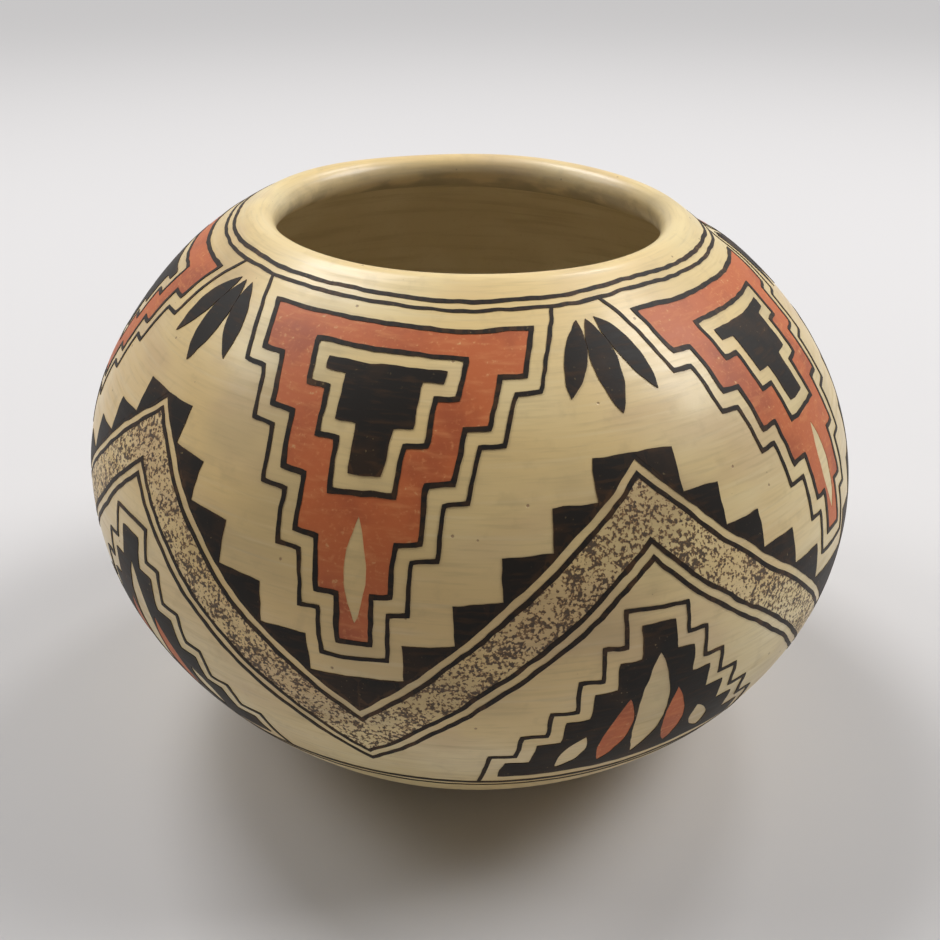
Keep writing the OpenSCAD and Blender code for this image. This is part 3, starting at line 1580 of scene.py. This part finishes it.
@dataclass
class PaintedBand:
    """The painted band round the jar, one thin film for each paint."""

    surface: JarSurface
    finishes: Mapping[Paint, bpy.types.Material]
    repeats: int = 5
    turn: float = -14.0
    cell: float = 3.0
    proud: Mapping[Paint, float] = field(
        default_factory=lambda: {Paint.SPATTER: 0.05, Paint.RED: 0.06, Paint.BLACK: 0.085}
    )
    layer: float = 0.002
    thickness: float = 0.16
    cut_snap: float = 0.0001
    weld: float = 0.0008
    tremor: Tremor = Tremor()

    @property
    def half_turn(self) -> float:
        """Half the angle of one repeat, in degrees."""
        return 180.0 / self.repeats

    def drawing(self) -> list[Shape]:
        """One repeat of the whole band.

        Returns:
            Its shapes, in order.
        """
        wall = UnrolledWall(self.surface.section)
        motifs = (
            FrameLines(self.half_turn),
            ZigzagRibbon(self.half_turn),
            HangingTerrace(0.0),
            StandingTerrace(self.half_turn),
            NeckLeaves(self.half_turn),
        )
        return [shape for motif in motifs for shape in motif.shapes(wall)]

    def build(self) -> Iterable[bpy.types.Object]:
        """Makes the film of each paint, one after another.

        Yields:
            Each finished film.
        """
        drawing = self.drawing()
        for paint in Paint:
            film = self.build_film(paint, [shape for shape in drawing if shape.paint is paint])
            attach(film, ROOT)
            yield film

    def build_film(self, paint: Paint, shapes: Sequence[Shape]) -> bpy.types.Object:
        """Fills one paint's shapes on the unrolled wall, repeats them and wraps them round the jar.

        Args:
            paint: The paint.
            shapes: Its shapes in one repeat.

        Returns:
            The finished film.
        """
        flat = bmesh.new()
        flat.verts.layers.float.new(EDGE)
        for number, shape in enumerate(shapes):
            self.fill(flat, shape, self.proud[paint] + number * self.layer)
        self.cut_into_cells(flat)
        self.repeat(flat)
        self.thicken(flat)
        mesh = bpy.data.meshes.new(paint.value)
        flat.to_mesh(mesh)
        flat.free()
        self.wrap(mesh)
        mesh.materials.append(self.finishes[paint])
        film = bpy.data.objects.new(paint.value, mesh)
        bpy.context.scene.collection.objects.link(film)
        return film

    def fill(self, flat: bmesh.types.BMesh, shape: Shape, height: float) -> None:
        """Adds a filled shape.

        Args:
            flat: The film's mesh on the unrolled wall.
            shape: The shape.
            height: Its height over the wall.
        """
        edges = []
        for loop in (shape.outline, *shape.holes):
            ring = [flat.verts.new((x, y, height)) for x, y in loop]
            edges += [flat.edges.new(pair) for pair in zip(ring, ring[1:] + ring[:1])]
        bmesh.ops.triangle_fill(flat, edges=edges, use_beauty=True, normal=(0.0, 0.0, 1.0))

    def cut_into_cells(self, flat: bmesh.types.BMesh) -> None:
        """Cuts the flat faces into cells that are small enough to bend round the wall.

        Args:
            flat: The film's mesh on the unrolled wall.
        """
        for axis in (0, 1):
            places = [v.co[axis] for v in flat.verts]
            way = Vector((0.0, 0.0, 0.0))
            way[axis] = 1.0
            for place in np.arange(min(places) + self.cell, max(places), self.cell):
                bmesh.ops.bisect_plane(
                    flat,
                    geom=flat.verts[:] + flat.edges[:] + flat.faces[:],
                    dist=self.cut_snap,
                    plane_co=way * place,
                    plane_no=way,
                )

    def repeat(self, flat: bmesh.types.BMesh) -> None:
        """Copies one repeat along the unrolled wall and joins what meets.

        Args:
            flat: The film's mesh on the unrolled wall.
        """
        first = flat.verts[:] + flat.edges[:] + flat.faces[:]
        span = math.tau * self.surface.section.belly_r / self.repeats
        for number in range(1, self.repeats):
            copy = bmesh.ops.duplicate(flat, geom=first)["geom"]
            moved = [item for item in copy if isinstance(item, bmesh.types.BMVert)]
            bmesh.ops.translate(flat, verts=moved, vec=(number * span, 0.0, 0.0))
        bmesh.ops.remove_doubles(flat, verts=flat.verts[:], dist=self.weld)

    def thicken(self, flat: bmesh.types.BMesh) -> None:
        """Turns the flat faces into closed slabs that reach a little under the slip.

        Args:
            flat: The film's mesh on the unrolled wall.
        """
        bmesh.ops.triangulate(flat, faces=flat.faces[:])
        bmesh.ops.reverse_faces(flat, faces=[face for face in flat.faces if face.normal.z < 0.0])
        edge = flat.verts.layers.float[EDGE]
        for vert in flat.verts:
            vert[edge] = float(vert.is_boundary)
        below = bmesh.ops.extrude_face_region(flat, geom=flat.faces[:])["geom"]
        for item in below:
            if isinstance(item, bmesh.types.BMVert):
                item.co.z -= self.thickness
        bmesh.ops.recalc_face_normals(flat, faces=flat.faces[:])

    def wrap(self, mesh: bpy.types.Mesh) -> None:
        """Wraps the flat slabs round the jar with the hand's tremor.

        Args:
            mesh: The film's mesh, in flat places.
        """
        section = self.surface.section
        places = np.zeros(3 * len(mesh.vertices), np.float32)
        mesh.vertices.foreach_get("co", places)
        across, up, proud = places.reshape(-1, 3).astype(float).T
        front = math.radians(-90.0 + self.turn)
        phi, q = front + across / section.belly_r, section.lip_s + up
        radius, height = section.skin(q)
        drift = self.tremor.drift(np.column_stack((radius * np.cos(phi), radius * np.sin(phi), height)))
        self.surface.mould(mesh, phi + drift[:, 0] / radius, q + drift[:, 1], proud)


@dataclass(frozen=True)
class Lamp:
    """A soft square lamp: where it hangs and its side in metres, and its power in watts."""

    name: str
    place: tuple[float, float, float]
    size: float
    power: float


@dataclass
class Studio:
    """Floor, light and camera, in metres."""

    floor_colour: Colour = srgb(213, 211, 211)
    floor_roughness: float = 0.9
    floor_size: float = 8.0
    fade_from: float = 0.30
    fade_to: float = 1.60
    camera_place: tuple[float, float, float] = (-0.0005, -0.2376, 0.1917)
    camera_pitch: float = 29.4
    lens: float = 42.18
    aim: tuple[float, float, float] = (0.0, 0.0, 0.06)
    lamps: tuple[Lamp, ...] = (
        Lamp("left_back", (-0.80, 0.90, 2.00), 0.80, 24.5),
        Lamp("right_back", (0.86, 1.12, 1.86), 0.44, 8.5),
        Lamp("right_side", (1.60, 0.30, 1.70), 1.00, 32.0),
        Lamp("left_side", (-1.60, 0.30, 1.70), 1.00, 14.0),
    )
    world_level: float = 0.10
    backdrop_level: float = 0.72
    backdrop: Colour = srgb(232, 230, 230)

    def build(self) -> None:
        """Sets the whole stage."""
        bpy.context.scene.view_settings.view_transform = "Standard"
        self.lay_floor()
        for lamp in self.lamps:
            self.hang(lamp)
        self.light_world()
        self.set_camera()

    def lay_floor(self) -> None:
        """Lays a plain pale floor under the jar."""
        flat = bmesh.new()
        bmesh.ops.create_grid(flat, x_segments=1, y_segments=1, size=self.floor_size / 2)
        mesh = bpy.data.meshes.new("floor")
        flat.to_mesh(mesh)
        flat.free()
        mesh.materials.append(self.floor_finish())
        floor = bpy.data.objects.new("floor", mesh)
        bpy.context.scene.collection.objects.link(floor)

    def floor_finish(self) -> bpy.types.Material:
        """Matt paper that fades into the backdrop far from the jar, for rays that see it.

        Returns:
            Its material.
        """
        shader = Shader("floor")
        shader.dress({"Base Color": self.floor_colour, "Roughness": self.floor_roughness})
        backdrop = {"Color": self.backdrop, "Strength": self.backdrop_level}
        glow = shader.node("ShaderNodeEmission", sockets=backdrop).outputs["Emission"]
        far = shader.away.step(self.fade_from / MM, self.fade_to / MM) * shader.seen()
        sockets = {0: far, 1: shader.body.outputs["BSDF"], 2: glow}
        mixed = shader.node("ShaderNodeMixShader", sockets=sockets)
        shader.join(shader.output.inputs["Surface"], mixed.outputs[0])
        return shader.material

    def hang(self, lamp: Lamp) -> None:
        """Hangs a lamp that looks at the jar.

        Args:
            lamp: The lamp.
        """
        light = bpy.data.lights.new(lamp.name, "AREA")
        light.size, light.energy = lamp.size, lamp.power
        holder = bpy.data.objects.new(lamp.name, light)
        holder.location = lamp.place
        way = Vector(self.aim) - Vector(lamp.place)
        holder.rotation_euler = way.to_track_quat("-Z", "Y").to_euler()
        bpy.context.scene.collection.objects.link(holder)

    def light_world(self) -> None:
        """Gives the world a plain dim light, and a pale backdrop that is only seen and mirrored."""
        world = bpy.data.worlds.new("studio")
        nodes = NodeTree(world)
        level = self.world_level + (self.backdrop_level - self.world_level) * nodes.seen()
        background = nodes.node("ShaderNodeBackground", sockets={"Color": self.backdrop, "Strength": level})
        nodes.node("ShaderNodeOutputWorld", sockets={"Surface": background.outputs[0]})
        bpy.context.scene.world = world

    def set_camera(self) -> None:
        """Places the camera at the photograph's view."""
        camera = bpy.data.cameras.new("camera")
        camera.lens = self.lens
        holder = bpy.data.objects.new("camera", camera)
        holder.location = self.camera_place
        holder.rotation_euler = (math.radians(90.0 - self.camera_pitch), 0.0, 0.0)
        bpy.context.scene.collection.objects.link(holder)
        bpy.context.scene.camera = holder


def main() -> None:
    """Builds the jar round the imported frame."""
    logging.basicConfig(level=logging.INFO, format="%(name)s %(message)s")
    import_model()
    surface = JarSurface(WallSection(), HandShaping())
    Studio().build()
    wall = JarWall(surface, SlipFinish().material(), BareClayFinish(surface.section).material())
    finishes = {
        Paint.SPATTER: SpatterFinish().material(),
        Paint.RED: RedPaintFinish().material(),
        Paint.BLACK: BlackPaintFinish().material(),
    }
    for assembly in (wall, PaintedBand(surface, finishes)):
        for piece in assembly.build():
            log.info("%s: %d faces", piece.name, len(piece.data.polygons))


if __name__ == "__main__":
    main()
